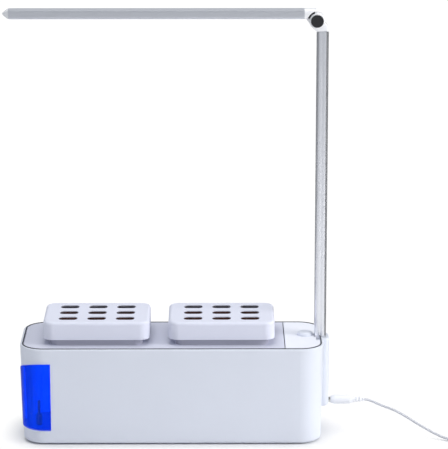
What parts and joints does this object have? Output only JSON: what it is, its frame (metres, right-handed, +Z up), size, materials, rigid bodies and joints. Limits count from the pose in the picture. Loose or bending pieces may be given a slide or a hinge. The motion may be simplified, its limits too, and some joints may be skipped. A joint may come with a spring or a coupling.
{
  "type": "countertop hydroponic garden",
  "caption": "White countertop hydroponic garden with two slotted plant lids, a blue tank window, one push button and a folding lamp arm.",
  "frame": {"origin": "middle of the bounding box of everything but the power lead, on the table", "axes": "+Z up from the table, -Y towards the window side that faces the viewer, +X towards the lamp pole"},
  "size_m": [0.5976, 0.117, 0.4634],
  "materials": {
    "casing_white": "satin white moulded plastic",
    "deck_grey": "fine matt light grey",
    "panel_white": "matt near-white",
    "lid_white": "matt cool white",
    "basket_white": "matt cool white",
    "tank_blue": "glossy tinted blue",
    "guide_clear": "clear blue tinted",
    "float_dark": "matt dark",
    "foot_rubber": "matt",
    "screw_steel": "plain",
    "pole_aluminium": "satin anodised",
    "knuckle_white": "satin white paint",
    "pin_steel": "plain",
    "cap_black": "gloss black",
    "washer_nylon": "plain",
    "arm_white": "satin anodised",
    "diffuser_frost": "frosted",
    "board_white": "white solder mask",
    "board_green": "green solder mask",
    "led_yellow": "yellow phosphor",
    "button_white": "satin white",
    "part_black": "matt black",
    "medium_dark": "loose dark fibre",
    "cord_white": "smooth flexible sheath",
    "plug_white": "satin white",
    "plug_metal": "plated",
    "blade_brass": "plain",
    "wire_white": "insulated wire"
  },
  "bodies": {
    "base": {"outer_casing": "casing_white", "base_plate": "casing_white", "base_screws": "screw_steel", "rubber_feet": "foot_rubber", "water_tank": "tank_blue", "float_guide": "guide_clear", "float_rest": "guide_clear", "control_panel": "panel_white", "tact_switch": "part_black", "control_board": "board_green", "dc_jack": "part_black", "pole_sleeve": "casing_white", "lamp_pole": "pole_aluminium", "lamp_wire": "wire_white", "lower_knuckle": "knuckle_white", "hinge_pin": "pin_steel", "hinge_cap_front": "cap_black", "hinge_cap_back": "cap_black", "friction_washers": "washer_nylon", "dc_plug": "plug_white", "plug_barrel": "plug_metal", "plug_relief": "plug_white", "power_cord": "cord_white", "cord_coil": "cord_white", "cord_tail": "cord_white", "power_adapter": "plug_white", "adapter_blades": "blade_brass"},
    "lamp": {"upper_knuckle": "knuckle_white", "lamp_arm": "arm_white", "led_board": "board_white", "led_chips": "led_yellow", "arm_diffuser": "diffuser_frost", "arm_end_cap": "knuckle_white"},
    "button": {"push_button": "button_white", "switch_plunger": "part_black"},
    "float": {"level_float": "float_dark"},
    "deck": {"deck_cover": "deck_grey"},
    "basket_left_body": {"basket_left": "basket_white", "grow_medium_left": "medium_dark"},
    "basket_right_body": {"basket_right": "basket_white", "grow_medium_right": "medium_dark"},
    "lid_left_body": {"lid_left": "lid_white"},
    "lid_right_body": {"lid_right": "lid_white"}
  },
  "joints": [
    {"name": "lamp_fold", "type": "hinge", "parent": "base", "child": "lamp", "pos_m": [0.1573, 0.00034, 0.451], "axis": [0, 1, 0], "range_deg": [-72, 90]},
    {"name": "button_press", "type": "slide", "parent": "base", "child": "button", "axis": [0, 0, -1], "range_m": [0, 0.0012], "stiffness_N_per_m": 600, "springref_m": -0.001},
    {"name": "float_rise", "type": "slide", "parent": "base", "child": "float", "axis": [0, 0, 1], "range_m": [0, 0.04]},
    {"name": "deck_lift", "type": "slide", "parent": "base", "child": "deck", "axis": [0, 0, 1], "range_m": [0, 0.08]},
    {"name": "basket_left_lift", "type": "slide", "parent": "deck", "child": "basket_left_body", "axis": [0, 0, 1], "range_m": [0, 0.075]},
    {"name": "basket_right_lift", "type": "slide", "parent": "deck", "child": "basket_right_body", "axis": [0, 0, 1], "range_m": [0, 0.075]},
    {"name": "lid_left_lift", "type": "slide", "parent": "basket_left_body", "child": "lid_left_body", "axis": [0, 0, 1], "range_m": [0, 0.04]},
    {"name": "lid_right_lift", "type": "slide", "parent": "basket_right_body", "child": "lid_right_body", "axis": [0, 0, 1], "range_m": [0, 0.04]}
  ]
}
